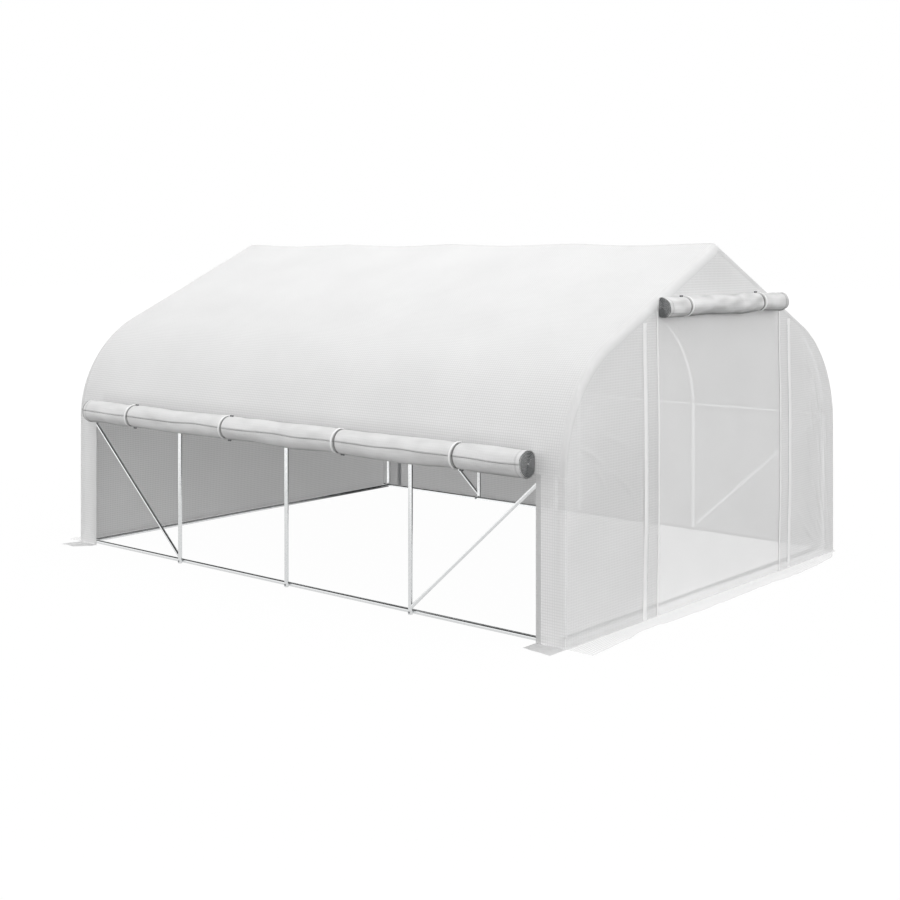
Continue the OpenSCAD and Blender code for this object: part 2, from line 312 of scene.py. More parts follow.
# The same cloth rolled up: many layers, so no light comes through.
ROLL_CLOTH = GridCloth("rolled_polyethylene_grid_cloth", "#F9F9F9", "#FDFDFD", clear_cell=0.0, glow=0.04,
                       crinkle=2.5 * MM)
# Fine knitted insect mesh: smooth from a few steps away; its 1.5 mm mesh is drawn as 3 mm so that it shows.
SCREEN_CLOTH = GridCloth("knitted_insect_mesh", "#F2F2F2", "#F7F7F7", pitch=3 * MM, thread_width=1.2 * MM,
                         clear_cell=0.24, clear_thread=0.16, glow=0.06, relief=0.05 * MM, crinkle=0.6 * MM)
# Doubled cloth tape over the seams: denser and whiter than the cover.
BINDING = GridCloth("bound_seam_tape", "#FAFAFA", "#FDFDFD", pitch=4 * MM, thread_width=1.5 * MM,
                    clear_cell=0.02, glow=0.06, relief=0.1 * MM)
# Galvanised tubes: bright zinc that mirrors the pale surround in long streaks.
STEEL = GalvanisedSteel()
# Flat woven webbing: white yarn with a fine rib that darkens it slightly.
WEBBING = FineTexture("woven_polyester_webbing", "#FDFDFD", "#EFEFEF", 3 * MM, 0.7)
# Cut edges of the rolled cloth and the strip at its free hem: dark grey as painted shade in the gaps between the
# layers, and a painted shadow line under the hem.
CUT_EDGE_AND_GAP_SHADE = FineTexture("cut_edges_and_painted_gap_shade", "#77797A", "#505253", 4 * MM, 0.85)
# Moulded acetal toggles: mid grey with a soft sheen.
ACETAL = FineTexture("moulded_acetal", "#6E7173", "#5C5F61", 6 * MM, 0.4, 0.05 * MM)
# Moulded white zip teeth: a fine, pale dotted line.
TEETH = FineTexture("moulded_white_acetal", "#DDDFE0", "#CDCFD0", 6 * MM, 0.4, 0.05 * MM)
# Zinc-plated screws dulled by handling: darker than the tubes.
ZINC = GalvanisedSteel("zinc_plated_screw", "#A4A7A9", "#7C8083", 4 * MM, 0.3, 0.45)
# Nylon coil zip on its grey tape: a matt, ribbed line.
ZIP_TAPE = FineTexture("nylon_zip_tape", "#C3C5C6", "#A4A6A8", 3 * MM, 0.75)


class Bench:
    """Common jobs: finishes, meshes, copies and mounting."""

    materials: dict[str, bpy.types.Material] = {}

    @classmethod
    def material(cls, finish: GridCloth | GalvanisedSteel | FineTexture) -> bpy.types.Material:
        """Gives the one material of a finish."""
        if finish.name not in cls.materials:
            cls.materials[finish.name] = finish.make()
        return cls.materials[finish.name]

    @staticmethod
    def clear_selection() -> None:
        """Leaves nothing selected."""
        bpy.ops.object.select_all(action="DESELECT")

    @classmethod
    def mount(cls, piece: bpy.types.Object, slot: Slot, nodes: Sequence[str] = ()) -> None:
        """Fixes a finished piece to the body and names what it stands for; cloth stays out of the reflections.

        Args:
            piece: The finished object.
            slot: The material slot it belongs to.
            nodes: Names of the solids that it replaces.
        """
        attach(piece, ROOT)
        piece.visible_glossy = slot in (Slot.STEEL, Slot.STRAP)
        if nodes:
            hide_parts(*nodes)
        LOG.info("%s: %d faces, stands for %s", piece.name, len(piece.data.polygons),
                 ", ".join(nodes) or "itself")

    @classmethod
    def mesh(cls, name: str, points: Sequence[Sequence[float]], faces: Sequence[Sequence[int]],
             uvs: Sequence[Sequence[float]] | None, finishes: Sequence[object],
             painted_shade_and_mottle: Sequence[float] | None = None) -> bpy.types.Object:
        """Makes a smooth-shaded mesh object at the origin.

        Args:
            name: The piece's name.
            points: Places of its vertices in metres.
            faces: Vertex numbers of each face.
            uvs: Flat place of each vertex on the cloth in metres, where it is cloth.
            finishes: Finishes by material number.
            painted_shade_and_mottle: Painted shade, with random mottling on the rolls, at each vertex, from 0 to
                1.

        Returns:
            The new object.
        """
        data = bpy.data.meshes.new(name)
        data.from_pydata([tuple(p) for p in points], [], [tuple(f) for f in faces])
        data.polygons.foreach_set("use_smooth", [True] * len(data.polygons))
        if uvs is not None:
            layer = data.uv_layers.new(name=UV_NAME)
            flat = [c for loop in data.loops for c in uvs[loop.vertex_index]]
            layer.data.foreach_set("uv", flat)
        if painted_shade_and_mottle is not None:
            data.attributes.new(SHADE_ATTRIBUTE, "FLOAT", "POINT").data.foreach_set("value", list(painted_shade_and_mottle))
        for finish in finishes:
            data.materials.append(cls.material(finish))
        data.update()
        piece = bpy.data.objects.new(name, data)
        bpy.context.scene.collection.objects.link(piece)
        return piece

    @classmethod
    def grid(cls, name: str, columns: Sequence[float], rows: Sequence[float],
             place: Callable[[float, float], Point], finish: object, flip: bool = False,
             keep: Callable[[float, float], bool] | None = None,
             flat: Callable[[float, float], tuple[float, float]] | None = None,
             painted_shade_and_mottle: Callable[[float, float], float] | None = None) -> bpy.types.Object:
        """Makes a sheet from a grid of places on the flat cloth.

        Args:
            name: The piece's name.
            columns: Flat places along the first axis.
            rows: Flat places along the second axis.
            place: Gives the hung place of a flat place.
            finish: The cloth's finish.
            flip: Turns the faces round.
            keep: Says which cells stay, by the flat place of their middle.
            flat: Gives the UV metres of a flat place, where they differ from it.
            painted_shade_and_mottle: Gives the painted shade at a flat place.

        Returns:
            The new object.
        """
        points = [place(c, r) for r in rows for c in columns]
        uvs = [flat(c, r) if flat else (c, r) for r in rows for c in columns]
        marks = [painted_shade_and_mottle(c, r) for r in rows for c in columns] if painted_shade_and_mottle else None
        wide = len(columns)
        faces = []
        for j in range(len(rows) - 1):
            for i in range(wide - 1):
                if keep and not keep((columns[i] + columns[i + 1]) / 2, (rows[j] + rows[j + 1]) / 2):
                    continue
                a = j * wide + i
                face = (a, a + 1, a + wide + 1, a + wide)
                faces.append(face[::-1] if flip else face)
        used = sorted({n for f in faces for n in f})
        number = {old: new for new, old in enumerate(used)}
        return cls.mesh(name, [points[n] for n in used], [[number[n] for n in f] for f in faces],
                        [uvs[n] for n in used], [finish], [marks[n] for n in used] if marks else None)

    @classmethod
    def spread(cls, pattern: bpy.types.Object, places: Iterable[Matrix], name: str) -> bpy.types.Object:
        """Copies a modelled pattern to each place and joins the copies into one piece.

        Args:
            pattern: The modelled piece at the origin, which is used up.
            places: Where each copy goes.
            name: The joined piece's name.

        Returns:
            The joined object, at the origin.
        """
        copies = []
        for place in places:
            copy = pattern.copy()
            copy.data = pattern.data.copy()
            bpy.context.scene.collection.objects.link(copy)
            copy.data.transform(place)
            copies.append(copy)
        bpy.data.objects.remove(pattern, do_unlink=True)
        cls.clear_selection()
        for copy in copies:
            copy.select_set(True)
        bpy.context.view_layer.objects.active = copies[0]
        bpy.ops.object.join()
        joined = bpy.context.view_layer.objects.active
        joined.name = name
        joined.data.name = name
        cls.clear_selection()
        return joined


@dataclass(frozen=True)
class Crease:
    """One soft fold in a stretched sheet, on its flat place."""

    across: float
    up: float
    angle: float
    length: float
    width: float
    height: float
    bend: float = 0.12

    def rise(self, a: float, b: float) -> float:
        """Height of the fold at a flat place.

        Args:
            a: Flat place across.
            b: Flat place up.

        Returns:
            The height in metres.
        """
        turn = math.radians(self.angle)
        along = (a - self.across) * math.cos(turn) + (b - self.up) * math.sin(turn)
        aside = (b - self.up) * math.cos(turn) - (a - self.across) * math.sin(turn)
        bow = aside + self.bend * along * along / self.length
        return self.height * math.exp(-(along / self.length * 2) ** 2) * math.exp(-(bow / self.width) ** 2)


@dataclass(frozen=True)
class CoverShape:
    """Middle surface of the stretched cover: walls, shoulders and slopes, turned over at both gables."""

    half_length: float = HALF_LENGTH
    half_width: float = HALF_WIDTH
    ridge: float = 2.0
    pitch: float = math.radians(25)
    shoulder: float = 0.72
    skin: float = 1 * MM
    corner: float = 46 * MM
    wall_corner: float = 13 * MM
    arch_end: float = ARCH_END
    bays: int = BAYS
    slope_sag: float = 13 * MM
    shoulder_sag: float = 6 * MM
    billow: float = 10 * MM
    ripple: float = 2.5 * MM
    ridge_ease: float = 20.0
    pull_in: float = 0.18

    @property
    def centre(self) -> float:
        """Distance of the shoulder centre from the middle."""
        return self.half_width - self.shoulder

    @property
    def tangent(self) -> float:
        """Distance from the middle to where a slope meets its shoulder."""
        return self.centre + self.shoulder * math.sin(self.pitch)

    @property
    def wall(self) -> float:
        """Height of the upright walls."""
        return self.ridge - math.tan(self.pitch) * self.tangent - self.shoulder * math.cos(self.pitch)

    @property
    def bend(self) -> float:
        """Length of cloth round one shoulder."""
        return self.shoulder * (math.pi / 2 - self.pitch)

    @property
    def half_girth(self) -> float:
        """Length of cloth from the ground to the ridge."""
        return self.wall + self.bend + self.tangent / math.cos(self.pitch)

    @property
    def reach(self) -> float:
        """Half the cloth length along the ridge, with its turn over the gable."""
        return self.half_length - self.corner + self.corner * math.pi / 2

    def turned(self, length: float) -> float:
        """Radius of the turn over a gable at a cloth length from the ground."""
        share = smoothstep(self.wall, self.wall + 1.1 * self.bend, length)
        return self.wall_corner + (self.corner - self.wall_corner) * share

    def section(self, girth: float, inset: float) -> tuple[float, float, float, float]:
        """Point and outward direction on the section across the ridge.

        Args:
            girth: Cloth length from the front ground edge.
            inset: Distance inside the outer face.

        Returns:
            The place across and up, and the outward direction across and up.
        """
        side = -1 if girth <= self.half_girth else 1
        length = girth if side < 0 else 2 * self.half_girth - girth
        if length <= self.wall:
            return side * (self.half_width - inset), length, side, 0.0
        if length <= self.wall + self.bend:
            turn = (length - self.wall) / self.shoulder
            reach = self.shoulder - inset
            return (side * (self.centre + reach * math.cos(turn)), self.wall + reach * math.sin(turn),
                    side * math.cos(turn), math.sin(turn))
        along = length - self.wall - self.bend
        out = self.tangent - along * math.cos(self.pitch)
        up = self.ridge - out * math.tan(self.pitch)
        share = max(0.0, out / self.tangent)
        across = max(out - inset * math.sin(self.pitch) * min(1.0, share * self.ridge_ease), 0.0)
        lower = inset / math.cos(self.pitch) * (1 - self.pull_in * share)
        return side * across, up - lower, side * math.sin(self.pitch), math.cos(self.pitch)

    def slack(self, along: float) -> float:
        """Share of the sag between arches.

        Args:
            along: Place along the ridge.

        Returns:
            From 0 at an arch to 1 between two.
        """
        if abs(along) >= self.arch_end:
            return 0.0
        share = (along + self.arch_end) / (2 * self.arch_end) * self.bays % 1.0
        return 0.6 * math.sin(math.pi * share) ** 2 + 0.4 * 4 * share * (1 - share)

    def point(self, along: float, girth: float, lift: float = 0.0, sagging: bool = True) -> Point:
        """Hung place of a flat place on the cover.

        Args:
            along: Cloth length from the middle along the ridge.
            girth: Cloth length from the front ground edge.
            lift: Distance proud of the middle surface.
            sagging: Whether the cloth sags between the arches.

        Returns:
            The place in metres.
        """
        length = min(girth, 2 * self.half_girth - girth)
        straight = self.half_length - self.corner
        radius = self.turned(length)
        run = max(abs(along) - straight, 0.0) / (self.reach - straight)
        run *= self.corner - radius + radius * math.pi / 2
        over = max(run - self.corner + radius, 0.0) / radius
        round_r = radius - self.skin + lift
        reach = min(abs(along), straight) + min(run, self.corner - radius) + round_r * math.sin(over)
        x = math.copysign(reach, along)
        inset = self.skin - lift + round_r * (1 - math.cos(over))
        y, z, out_y, out_z = self.section(girth, inset)
        if not sagging:
            return x, y, z
        slope = smoothstep(self.wall + 0.5 * self.bend, self.half_girth, length)
        depth = self.shoulder_sag * smoothstep(0.25, self.wall + 0.2, length)
        depth += (self.slope_sag - self.shoulder_sag) * slope
        depth *= self.slack(x)
        ripple = noise.noise(Vector((along * 2.3, girth * 2.3, 0.4))) * self.ripple * self.slack(x)
        down_y, down_z = -out_y * (1 - slope), -out_z * (1 - slope) - slope
        return x, y + down_y * (depth + ripple), z + down_z * (depth + ripple)

    def edge(self, length: float) -> tuple[float, float]:
        """Place across and up of the turned edge at a cloth length from the ground."""
        _, across, up = self.point(self.reach, length, 0.0, False)
        return abs(across), up

    @lru_cache(maxsize=None)
    def top(self, across: float) -> float:
        """Height of the turned edge, where the gable is sewn to it.

        Args:
            across: Place across the gable.

        Returns:
            The height in metres.
        """
        low, high = self.wall, self.half_girth
        for _ in range(30):
            middle = (low + high) / 2
            low, high = (middle, high) if self.edge(middle)[0] > abs(across) else (low, middle)
        return self.edge(low)[1]

    def bow(self, across: float, up: float) -> float:
        """How far a gable bows outwards at a place on it."""
        room = min(self.half_width - abs(across), (self.top(across) - up) * math.cos(self.pitch), up)
        return self.billow * smoothstep(0.03, 0.6, room)


@dataclass
class Cover:
    """The roof, the walls and both gables, with their seams."""

    shape: CoverShape = field(default_factory=CoverShape)
    cell: float = 25 * MM
    gable_cell: float = 12 * MM
    strip: float = STRIP
    gable_plane: float = GABLE_PLANE
    door_half: float = DOOR_HALF
    door_height: float = DOOR_HEIGHT
    overlap: float = 30 * MM
    overlap_lift: float = 0.6 * MM
    hem: float = 30 * MM
    hem_lift: float = 0.8 * MM
    zip_half: float = 14 * MM
    zip_inset: float = 4 * MM
    head_share: float = 0.985
    head_step: float = 0.12
    wave: float = 4 * MM
    door_creases: tuple[Crease, ...] = (
        Crease(1.24, 0.36, 112, 0.30, 0.012, 6 * MM), Crease(1.31, 0.33, 105, 0.34, 0.011, 7 * MM),
        Crease(1.18, 0.26, 125, 0.22, 0.012, 5 * MM), Crease(1.36, 0.52, 96, 0.40, 0.012, 5 * MM),
        Crease(1.10, 0.20, 140, 0.20, 0.013, 5 * MM), Crease(1.27, 0.22, 120, 0.16, 0.010, 5 * MM),
        Crease(1.20, 0.46, 118, 0.22, 0.011, 5 * MM), Crease(1.06, 0.42, 132, 0.18, 0.012, 4 * MM),
        Crease(1.00, 0.30, 148, 0.16, 0.012, 4 * MM), Crease(1.40, 0.30, 98, 0.26, 0.010, 5 * MM),
        Crease(1.14, 0.62, 110, 0.26, 0.012, 4 * MM), Crease(1.28, 0.66, 100, 0.24, 0.011, 4 * MM),
        Crease(1.12, 1.22, 118, 0.30, 0.013, 5 * MM), Crease(1.22, 1.05, 105, 0.34, 0.013, 5 * MM),
        Crease(1.30, 0.86, 96, 0.30, 0.012, 5 * MM), Crease(1.04, 1.08, 112, 0.22, 0.012, 4 * MM),
        Crease(1.16, 0.90, 100, 0.22, 0.012, 4 * MM), Crease(1.38, 0.74, 92, 0.22, 0.010, 4 * MM),
        Crease(-1.28, 0.93, -28, 0.22, 0.011, 4 * MM), Crease(-1.20, 0.80, -55, 0.16, 0.010, 3 * MM),
        Crease(-0.98, 0.74, -38, 0.24, 0.010, 3.5 * MM), Crease(-1.36, 0.72, -70, 0.18, 0.010, 3 * MM),
        Crease(-1.06, 0.98, -20, 0.20, 0.010, 2.5 * MM))

    def columns(self) -> list[float]:
        """Flat places along the whole cover, close together where it turns over the gables."""
        straight = self.shape.half_length - self.shape.corner
        turn = steps(straight, self.shape.reach, 5 * MM)[1:]
        return [-c for c in reversed(turn)] + steps(-straight, straight, self.cell) + turn

    def build(self) -> None:
        """Builds and dresses all the sheets of the cover."""
        self.roof()
        self.walls()
        self.gables()

    def roof(self) -> None:
        """One sheet over both slopes and shoulders."""
        shape = self.shape
        low, high = shape.wall, 2 * shape.half_girth - shape.wall
        rows = steps(low, shape.half_girth, self.cell) + steps(shape.half_girth, high, self.cell)[1:]
        # Painted shade: the lower roof slightly darker, and a painted shadow band just above the side roll.
        roof = Bench.grid("roof_cover", self.columns(), rows, shape.point, ROOF_CLOTH,
                          painted_shade_and_mottle=lambda a, g: 0.03 * smoothstep(2.2, 1.7, g)
                          + 0.2 * smoothstep(1.06, 0.95, g) * smoothstep(1.8, 1.74, abs(a)))
        nodes = ["roof_front_shoulder", "roof_front_slope", "roof_back_slope", "roof_back_shoulder"]
        Bench.mount(roof, Slot.COVER, nodes)
        roof.visible_glossy = True
        roof.data.materials.append(Bench.material(EDGE_CLOTH))
        for face in roof.data.polygons:
            face.material_index = int(abs(face.center.x) > shape.half_length - 0.8 * shape.corner)

    def walls(self) -> None:
        """Fixed strips at the corners, the front hems and the closed back wall with its zips."""
        shape = self.shape
        inner = shape.half_length - self.strip
        ground = 2 * shape.half_girth
        ends = {"far": (-shape.reach, -inner), "door": (inner, shape.reach)}
        for end, (start, stop) in ends.items():
            straight = [c for c in self.columns() if start < c < stop]
            columns = [start] + straight + [stop]
            for side, low, high in (("front", 0.0, shape.wall), ("back", ground - shape.wall, ground)):
                name = f"{side}_strip_{end}"
                # Painted shade: the strips at the door end are slightly darker.
                piece = Bench.grid(f"{name}_cloth", columns, steps(low, high, self.cell),
                                   lambda a, g: shape.point(a, g, 0.0, False), STRIP_CLOTH,
                                   painted_shade_and_mottle=lambda a, g: 0.06 * smoothstep(0.0, 0.2, a))
                Bench.mount(piece, Slot.COVER, [name])
        for end, sign in (("far", -1), ("door", 1)):
            # Painted shade: the hem at the door end is darker.
            hem = Bench.grid(f"front_hem_{end}", steps(sign * inner, sign * (inner + self.hem), self.hem / 3),
                             steps(0.0, shape.wall, self.cell),
                             lambda a, g: shape.point(a, g, self.hem_lift, False),
                             HEM_AND_SHADED_FLAP_CLOTH, flip=sign < 0, painted_shade_and_mottle=lambda a, g: 0.25 * smoothstep(0.0, 0.2, a))
            Bench.mount(hem, Slot.COVER)
        wide = inner + self.overlap
        back = Bench.grid("back_wall_cloth", steps(-wide, wide, self.cell),
                          steps(ground - shape.wall, ground, self.cell),
                          lambda a, g: shape.point(a, g, self.overlap_lift), COVER_CLOTH)
        Bench.mount(back, Slot.COVER, ["back_panel"])
        for end, x in (("far", -inner), ("door", inner)):
            tape = Bench.grid(f"back_zip_tape_{end}", steps(x - self.zip_half, x + self.zip_half, self.zip_half),
                              steps(0.0, shape.wall, 0.05),
                              lambda a, z: (a, shape.half_width - self.zip_inset, z), ZIP_TAPE)
            Bench.mount(tape, Slot.COVER)

    def gable_rows(self) -> list[float]:
        """Shares of the height of a gable: 0 to 1 up to the door's top, 1 to 2 above it."""
        return steps(0.0, 1.0, self.gable_cell / self.door_height) + steps(1.0, 2.0, self.head_step)[1:]

    def gable_height(self, across: float, share: float) -> float:
        """Height of a place on the gable.

        Args:
            across: Place across the gable.
            share: Share of the height, as in gable_rows.

        Returns:
            The height in metres.
        """
        top = self.shape.top(across)
        split = min(self.door_height, self.head_share * top)
        return split * share if share <= 1 else split + (top - split) * (share - 1)

    def gable_point(self, across: float, share: float, plane: float, creases: Sequence[Crease]) -> Point:
        """Hung place on a gable.

        Args:
            across: Place across the gable.
            share: Share of the height there.
            plane: Place of the gable along the ridge.
            creases: Folds that stand out of it.

        Returns:
            The place in metres.
        """
        z = self.gable_height(across, share)
        room = min(self.shape.half_width - abs(across), self.shape.top(across) - z)
        free = smoothstep(0.05, 0.3, room) * smoothstep(0.08, 0.3, z)
        away = abs(abs(across - DOOR_MIDDLE) - self.door_half)
        wave = noise.noise(Vector((across * 2.6, z * 2.6, plane))) * self.wave * free * smoothstep(0.0, 0.2, away)
        fold = sum(c.rise(across, z) for c in creases)
        return math.copysign(abs(plane) + wave + fold + self.shape.bow(across, z), plane), across, z

    def gable_columns(self) -> list[float]:
        """Places across a gable, with both edges of the doorway among them.

        Returns:
            The places in order, none twice.
        """
        wall = self.shape.wall
        turns = [self.shape.edge(g)[0] for g in steps(wall + self.shape.bend, wall, self.gable_cell)]
        jambs = DOOR_MIDDLE - self.door_half, DOOR_MIDDLE + self.door_half
        found = steps(*jambs, self.gable_cell)
        for sign, jamb in zip((-1, 1), jambs):
            found += [sign * a for a in steps(abs(jamb), turns[0], self.gable_cell)[1:-1] + turns]
        found.sort()
        return [a for n, a in enumerate(found) if n == 0 or a - found[n - 1] > 0.2 * MM]

    def gables(self) -> None:
        """The plain far gable and the door gable with its cut doorway."""
        shape = self.shape
        across = self.gable_columns()
        side = across[-1]
        slice_width = 2 * MM
        area = 2 * sum(shape.top(a) for a in steps(0.0, side, slice_width)) * slice_width
        far = Bench.grid("far_gable_cloth", across, self.gable_rows(),
                         lambda a, s: self.gable_point(a, s, -self.gable_plane, ()), COVER_CLOTH, flip=True,
                         flat=lambda a, s: (a, self.gable_height(a, s)))
        Bench.mount(far, Slot.COVER, ["far_gable"])
        # Painted shade: the lower front part of the door gable is darker.
        door = Bench.grid("door_gable_cloth", across, self.gable_rows(),
                          lambda a, s: self.gable_point(a, s, self.gable_plane, self.door_creases), GABLE_CLOTH,
                          keep=lambda a, s: abs(a - DOOR_MIDDLE) > self.door_half or s > 1,
                          flat=lambda a, s: (a, self.gable_height(a, s)),
                          painted_shade_and_mottle=lambda a, s: 0.14 * smoothstep(0.2, -0.2, a) * smoothstep(0.95, 0.4, s))
        Bench.mount(door, Slot.COVER, ["door_gable_front", "door_gable_back", "door_gable_top"])


@dataclass
class Doorway:
    """The insect screen, the bound edges and the zip teeth of the doorway."""

    shape: CoverShape = field(default_factory=CoverShape)
    half: float = DOOR_HALF
    height: float = DOOR_HEIGHT
    plane: float = GABLE_PLANE
    screen_plane: float = 1.9975
    inner_tape: float = 16 * MM
    outer_tape: float = 38 * MM
    outer_place: float = 0.822
    tape_rise: float = 4 * MM
    tape_crown: float = 2.4 * MM
    teeth_place: float = 0.8035
    tooth_pitch: float = 9 * MM
    tooth: Point = (2.4 * MM, 6 * MM, 5 * MM)
    cell: float = 30 * MM

    def build(self) -> None:
        """Builds the screen, its tapes and its teeth."""
        self.screen()
        self.tapes()
        self.teeth()

    def screen(self) -> None:
        """Smooth mesh that closes the doorway behind the rolled flap."""
        left, right = DOOR_MIDDLE - self.half, DOOR_MIDDLE + self.half

        def place(across: float, up: float) -> Point:
            """Hung place of a flat place on the screen.

            Args:
                across: Flat place across.
                up: Flat place up.

            Returns:
                The place in metres.
            """
            bow = math.sin(math.pi * (across - left) / (2 * self.half)) * math.sin(math.pi * up / self.height)
            ripple = noise.noise(Vector((across * 1.8, up * 1.2, 3.0))) * 3 * MM * bow
            z = up * min(1.0, (self.shape.top(across) - 2 * MM) / self.height)
            return self.screen_plane + self.shape.bow(across, z) - abs(ripple) - 2 * MM * bow, across, z

        piece = Bench.grid("door_screen_mesh", steps(left, right, self.cell), steps(0.0, self.height, self.cell),
                           place, SCREEN_CLOTH)
        Bench.mount(piece, Slot.SCREEN, ["door_screen"])

    def tape(self, name: str, place: float, width: float, top: float) -> None:
        """One upright tape sewn on the gable.

        Args:
            name: The piece's name.
            place: Place of its middle across the gable.
            width: Width of the tape.
            top: Height of its upper end.
        """
        def crowned(across: float, up: float) -> Point:
            """Place on the tape, which stands proud along its middle."""
            share = (across - place) / (width / 2)
            rise = self.tape_rise - self.tape_crown * share * share
            return self.plane + self.shape.bow(across, up) + rise, across, up

        piece = Bench.grid(name, steps(place - width / 2, place + width / 2, width / 6),
                           steps(0.0, top, self.cell), crowned, BINDING)
        Bench.mount(piece, Slot.COVER)

    def tapes(self) -> None:
        """Two tapes at each side of the doorway."""
        tapes = (("edge", self.half, self.inner_tape), ("zip", self.outer_place, self.outer_tape))
        for side, sign in (("front", -1), ("back", 1)):
            for name, out, width in tapes:
                place = DOOR_MIDDLE + sign * out
                top = min(self.height, self.shape.top(abs(place) + width / 2))
                self.tape(f"door_{name}_tape_{side}", place, width, top)

    def teeth(self) -> None:
        """Rows of moulded teeth beside the outer tapes."""
        Bench.clear_selection()
        bpy.ops.mesh.primitive_cube_add(size=1.0)
        tooth = bpy.context.active_object
        bpy.ops.object.mode_set(mode="EDIT")
        bpy.ops.transform.resize(value=self.tooth)
        bpy.ops.mesh.bevel(offset=0.8 * MM, segments=1)
        bpy.ops.object.mode_set(mode="OBJECT")
        tooth.data.materials.append(Bench.material(TEETH))
        places = []
        for y in (DOOR_MIDDLE - self.teeth_place, DOOR_MIDDLE + self.teeth_place):
            for z in steps(0.04, self.shape.top(y) - 0.06, self.tooth_pitch):
                places.append(Matrix.Translation((self.plane + self.shape.bow(y, z) + 1.6 * MM, y, z)))
        piece = Bench.spread(tooth, places, "door_zip_teeth")
        Bench.mount(piece, Slot.COVER)


@dataclass
class GroundFlaps:
    """Flaps of cloth that lie on the ground outside the walls."""

    width: float = 0.18
    half_length: float = HALF_LENGTH
    half_width: float = HALF_WIDTH
    strip: float = STRIP
    door_half: float = DOOR_HALF
    cell: float = 20 * MM
    gap: float = 2 * MM
    bed: float = 1.5 * MM
    ripple: float = 7 * MM
    fray: float = 6 * MM

    def build(self) -> None:
        """Builds the flaps on all four sides."""
        inner = self.half_length - self.strip
        left, right = DOOR_MIDDLE - self.door_half - self.gap, DOOR_MIDDLE + self.door_half + self.gap
        long, wide = self.half_length, self.half_width - self.gap
        # The front flaps take the darker hem cloth: painted shade at the foot of the wall.
        self.flap("front_flap_far", (-long, -inner), "front", (0.15, 0.13, 0.05), 0.4, ["front_flaps"], HEM_AND_SHADED_FLAP_CLOTH)
        self.flap("front_flap_door", (inner, long), "front", (0.105, 0.12, 0.135), 1.7, [], HEM_AND_SHADED_FLAP_CLOTH)
        self.flap("back_flap_cloth", (-long, long), "back", (0.13, 0.16, 0.13, 0.15, 0.11, 0.01), 2.3,
                  ["back_flap"])
        self.flap("far_flap_cloth", (-wide, wide), "far", (0.12, 0.16, 0.13, 0.15, 0.17), 3.9, ["far_gable_flap"])
        self.flap("door_flap_front", (-wide, left), "door", (0.16, 0.14, 0.10, 0.12), 5.1, ["door_gable_flaps"])
        self.flap("door_flap_middle", (left, right), "door", (0.12, 0.125, 0.12, 0.115, 0.13), 6.6, [])
        self.flap("door_flap_back", (right, wide), "door", (0.13, 0.115, 0.09, 0.015), 8.2, [])

    def flap(self, name: str, span: tuple[float, float], side: str, widths: Sequence[float], seed: float,
             nodes: Sequence[str], finish: GridCloth = FLAP_CLOTH) -> None:
        """One flap that lies from the foot of a wall outwards, with soft ripples and a wavy edge.

        Args:
            name: The piece's name.
            span: Its two ends along the wall.
            side: Which wall it belongs to.
            widths: Its width at even places along it.
            seed: Number that sets its ripples apart from the others.
            nodes: Solids that it replaces.
            finish: Its cloth.
        """
        width = sum(widths) / len(widths)

        def place(along: float, share: float) -> Point:
            """Place of a point of the flap on the ground.

            Args:
                along: Place along the wall.
                share: Share of the way to the free edge.

            Returns:
                The place in metres.
            """
            run = (along - span[0]) / (span[1] - span[0]) * (len(widths) - 1)
            part = min(int(run), len(widths) - 2)
            edge = widths[part] + (widths[part + 1] - widths[part]) * smoothstep(0.0, 1.0, run - part)
            edge += self.fray * noise.noise(Vector((along * 7.5, seed, 4.0)))
            out = min(edge, self.width) * share
            ripple = noise.noise(Vector((along * 9, out * 5, seed)))
            ripple += 0.6 * noise.noise(Vector((along * 23, out * 9, seed)))
            z = self.bed + self.ripple * max(ripple, 0.0) * smoothstep(0.0, 0.5, share)
            if side == "front":
                return along, -self.half_width - out, z
            if side == "back":
                return along, self.half_width + out, z
            sign = 1 if side == "door" else -1
            return sign * (self.half_length + out), along, z

        piece = Bench.grid(name, steps(*span, self.cell), steps(0.0, 1.0, self.cell / width), place, finish,
                           flip=side in ("front", "door"), flat=lambda a, s: (a, s * width))
        Bench.mount(piece, Slot.COVER, nodes)


